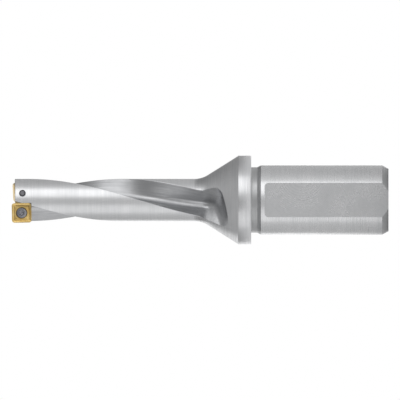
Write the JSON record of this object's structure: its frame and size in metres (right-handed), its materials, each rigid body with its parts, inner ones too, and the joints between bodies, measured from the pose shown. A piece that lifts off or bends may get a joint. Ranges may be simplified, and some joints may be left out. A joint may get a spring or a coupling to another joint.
{
  "type": "indexable drill",
  "caption": "Indexable drill with a flatted, flanged straight shank, helical chip flutes, internal coolant and square screw-held carbide inserts at the tip.",
  "frame": {"origin": "centre of the shank's end face, on which the drill stands", "axes": "+Z along the tool axis towards the tip; -Y out of the shank's clamping flat; +X across the tool, to the side of the central insert"},
  "size_m": [0.041, 0.041, 0.1743],
  "materials": {
    "body_steel": "satin, nickel-plated, with a ground shank",
    "insert_coating": "satin gold coating on carbide",
    "screw_steel": "blackened steel"
  },
  "bodies": {
    "root": {"drill_body": "body_steel", "outer_insert": "insert_coating", "central_insert": "insert_coating", "outer_insert_screw": "screw_steel", "central_insert_screw": "screw_steel"}
  },
  "joints": []
}
